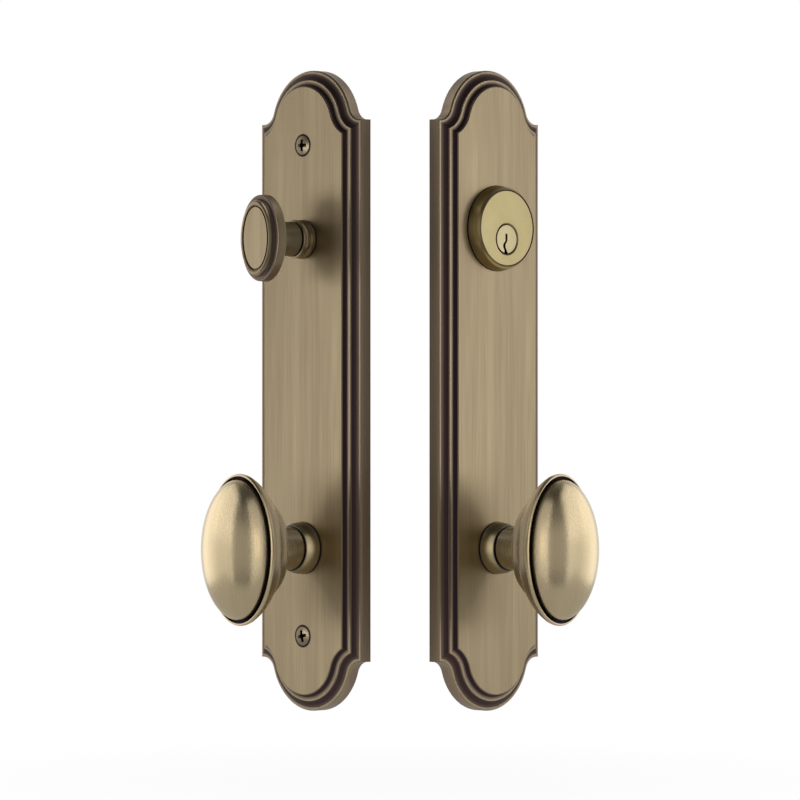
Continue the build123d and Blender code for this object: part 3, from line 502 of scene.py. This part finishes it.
FLOOR_DROP = 0.03       # metres below the plates, which hang as on a door
FLOOR_FRONT = -0.16     # where the paper ends, just outside the picture
FLOOR_W = 0.7
FLOOR_DEEP = 0.7
SHADOW_FADES = {"From Min": 0.15, "From Max": 0.32}     # metres from the origin, to pure white
NEAR_WHITE = 0.95       # how white the camera sees the paper where the shadow lies
MIRRORED_PAPER = 0.5    # how white a mirror sees it
LAMP_AWAY = 1.2         # metres from the origin
MAIN_GLOW = 2.55        # of the plates' main softbox
WHITE = (1, 1, 1, 1)
SOFT = {"interpolation_type": "SMOOTHSTEP"}

# The room's brightness by direction, with Y away from the camera and Z up, each from -1 to 1. It is
# grey in front at eye level, darker above and below, and brighter towards the sides and behind.
ROOM_FRONT = {"From Min": 0.25, "From Max": 0.5, "To Min": 0.4, "To Max": 0.12}         # by steepness
ROOM_SIDES = {"From Min": -0.3, "From Max": 0.5, "To Min": 0.2, "To Max": 0.95}         # by Y
FRONT_TO_SIDES = {"From Min": -0.75, "From Max": -0.4}                                  # by Y
ROOM_OVERHEAD = {"From Min": 0.35, "From Max": 0.75, "To Min": 1.0, "To Max": 0.3}      # by Z
BACKDROP = {"From Min": 0.2, "From Max": 0.7}       # by Y, what mirrors see as white


def aimed(made, place, target=(0, 0, 0)):
    """Puts a lamp or camera somewhere, looking at a point."""
    made.location = place
    made.rotation_euler = (Vector(target) - Vector(place)).to_track_quat("-Z", "Y").to_euler()
    bpy.context.scene.collection.objects.link(made)
    return made


def softbox(lit, name, degrees, lift, width, height, glow, colour="#FFFFFF", shade=OBJECT):
    """A rectangular lamp for a lit group, so many degrees outwards from the camera and up.

    Width and height are in metres, and glow is its radiance. shade holds what keeps its light from
    the group, and the floor never does."""
    data = bpy.data.lights.new(name, "AREA")
    data.shape = "RECTANGLE"
    data.size = width
    data.size_y = height
    data.energy = glow * math.pi * width * height
    data.color = linear(colour)[:3]
    turn, up = math.radians(degrees), math.radians(lift)
    if lit[0] == "interior":
        turn = -turn
    flat = LAMP_AWAY * math.cos(up)
    place = (flat * math.sin(turn), -flat * math.cos(turn), LAMP_AWAY * math.sin(up))
    lamp = aimed(bpy.data.objects.new(" ".join(lit) + ", " + name, data), place)
    lamp.light_linking.receiver_collection = LIT[lit]
    lamp.light_linking.blocker_collection = shade


def seen_as_background(tree):
    """1 for what the camera or a reflection sees, and 0 for the light that falls on things."""
    path = add(tree, "ShaderNodeLightPath")
    mirrored = add(tree, "ShaderNodeMath", {
        0: path.outputs["Is Glossy Ray"], 1: path.outputs["Is Transmission Ray"]}, operation="MAXIMUM")
    return path.outputs["Is Camera Ray"], mirrored.outputs[0]


def studio_world():
    """White behind the object; the room on the camera's side is dark overhead and underfoot."""
    world = bpy.data.worlds.new("studio")
    world.use_nodes = True
    tree = world.node_tree
    tree.nodes.clear()
    coordinates = add(tree, "ShaderNodeTexCoord")
    xyz = add(tree, "ShaderNodeSeparateXYZ", {"Vector": coordinates.outputs["Generated"]})
    steep = add(tree, "ShaderNodeMath", {0: xyz.outputs["Z"]}, operation="ABSOLUTE")
    front = add(tree, "ShaderNodeMapRange", {"Value": steep.outputs[0], **ROOM_FRONT}, **SOFT)
    side = add(tree, "ShaderNodeMapRange", {"Value": xyz.outputs["Y"], **ROOM_SIDES}, **SOFT)
    aside = add(tree, "ShaderNodeMapRange", {"Value": xyz.outputs["Y"], **FRONT_TO_SIDES}, **SOFT)
    overhead = add(tree, "ShaderNodeMapRange", {"Value": xyz.outputs["Z"], **ROOM_OVERHEAD}, **SOFT)
    walls = add(tree, "ShaderNodeMix", {0: aside.outputs[0], 2: front.outputs[0], 3: side.outputs[0]})
    glow = add(tree, "ShaderNodeMath", {0: walls.outputs[0], 1: overhead.outputs[0]}, operation="MULTIPLY")
    room = add(tree, "ShaderNodeBackground", {"Color": WHITE, "Strength": glow.outputs[0]})
    white = add(tree, "ShaderNodeBackground", {"Color": WHITE, "Strength": 1.0})
    # The camera sees white all round, and mirrors see it behind the object
    behind = add(tree, "ShaderNodeMapRange", {"Value": xyz.outputs["Y"], **BACKDROP}, **SOFT)
    camera_sees, mirror_sees = seen_as_background(tree)
    backdrop = add(tree, "ShaderNodeMath", {
        0: behind.outputs[0], 1: overhead.outputs[0]}, operation="MULTIPLY")
    mirrored = add(tree, "ShaderNodeMath", {0: mirror_sees, 1: backdrop.outputs[0]}, operation="MULTIPLY")
    share = add(tree, "ShaderNodeMath", {0: camera_sees, 1: mirrored.outputs[0]}, operation="MAXIMUM")
    shown = add(tree, "ShaderNodeMixShader", {0: share.outputs[0], 1: room.outputs[0], 2: white.outputs[0]})
    add(tree, "ShaderNodeOutputWorld", {"Surface": shown.outputs[0]})
    bpy.context.scene.world = world


def pale_floor():
    """White paper, seen as white but for the object's soft shadow, which fades out with distance."""
    low = CAD_BOX[0][2] - FLOOR_DROP
    bm = bmesh.new()
    bmesh.ops.create_grid(bm, x_segments=1, y_segments=1, size=1.0)
    bmesh.ops.scale(bm, verts=bm.verts, vec=(FLOOR_W / 2, FLOOR_DEEP / 2, 1))
    bmesh.ops.translate(bm, verts=bm.verts, vec=(0, FLOOR_FRONT + FLOOR_DEEP / 2, low))
    mesh = bpy.data.meshes.new("floor")
    bm.to_mesh(mesh)
    bm.free()
    material = bpy.data.materials.new("white paper, matt floor")
    material.use_nodes = True
    tree = material.node_tree
    tree.nodes.clear()
    paper = add(tree, "ShaderNodeBsdfDiffuse", {"Color": linear("#F0F0F0")})
    glow = add(tree, "ShaderNodeEmission", {"Color": WHITE, "Strength": 1.0})
    coordinates = add(tree, "ShaderNodeTexCoord")
    away = add(tree, "ShaderNodeVectorMath", {0: coordinates.outputs["Object"]}, operation="LENGTH")
    white = add(tree, "ShaderNodeMapRange", {
        "Value": away.outputs["Value"], **SHADOW_FADES, "To Min": NEAR_WHITE}, **SOFT)
    camera_sees, mirror_sees = seen_as_background(tree)
    dimmed = add(tree, "ShaderNodeMath", {0: mirror_sees, 1: MIRRORED_PAPER}, operation="MULTIPLY")
    seen = add(tree, "ShaderNodeMath", {0: camera_sees, 1: dimmed.outputs[0]}, operation="MAXIMUM")
    share = add(tree, "ShaderNodeMath", {0: seen.outputs[0], 1: white.outputs[0]}, operation="MULTIPLY")
    shown = add(tree, "ShaderNodeMixShader", {0: share.outputs[0], 1: paper.outputs[0], 2: glow.outputs[0]})
    add(tree, "ShaderNodeOutputMaterial", {"Surface": shown.outputs[0]})
    mesh.materials.append(material)
    floor = bpy.data.objects.new("floor", mesh)
    bpy.context.scene.collection.objects.link(floor)


def camera():
    """A long lens straight in front, at the middle of the plates."""
    data = bpy.data.cameras.new("camera")
    data.lens = LENS
    data.sensor_width = SENSOR
    data.sensor_height = SENSOR
    data.clip_end = 50.0
    made = bpy.data.objects.new("camera", data)
    place = (0, DOOR_Y - CAMERA_BACK, CAMERA_Z)
    bpy.context.scene.camera = aimed(made, place, (0, DOOR_Y, CAMERA_Z))


studio_world()
pale_floor()
# Each lamp has degrees outwards, degrees up, width, height and glow. The exterior half's main
# softbox is brighter and hangs higher.
for side, glow, lift in (("interior", 1.0, 0), ("exterior", 1.25, 3)):
    for group, across, steep, edge in (("plate", 0.45, 52, 1.0), ("lock", 0.1, 68, 1.5)):
        softbox((side, group), "main softbox", 66, lift, 1.0, 0.44, MAIN_GLOW * glow)
        softbox((side, group), "side card", -85, 0, 0.8, 0.8, across)
        softbox((side, group), "high side card", -85, steep, 0.9, 0.9, edge)
        softbox((side, group), "low side card", -85, -steep, 0.9, 0.9, edge)
    softbox((side, "knob"), "main softbox", 90, 0, 2.57, 6.0, 0.89)
    softbox((side, "knob"), "high softbox", 74, 30, 1.4, 1.2, 0.42)
    softbox((side, "knob"), "front card", -36, 10, 1.2, 2.5, 0.68)
    softbox((side, "knob"), "warm card", -31, 2, 0.5, 0.5, 0.6, "#FFEBCB")
    softbox((side, "knob"), "fill card", 2, 4, 1.5, 2.2, 0.14)
    # Behind the plates, which would keep its light off
    softbox((side, "knob"), "rear card", -132, 0, 1.4, 2.4, 0.32, shade=LIT[side, "knob"])
softbox(("interior", "lock"), "rear card", -132, 0, 1.4, 2.4, 0.35, shade=LIT["interior", "lock"])
camera()
bpy.context.scene.view_settings.view_transform = "Standard"
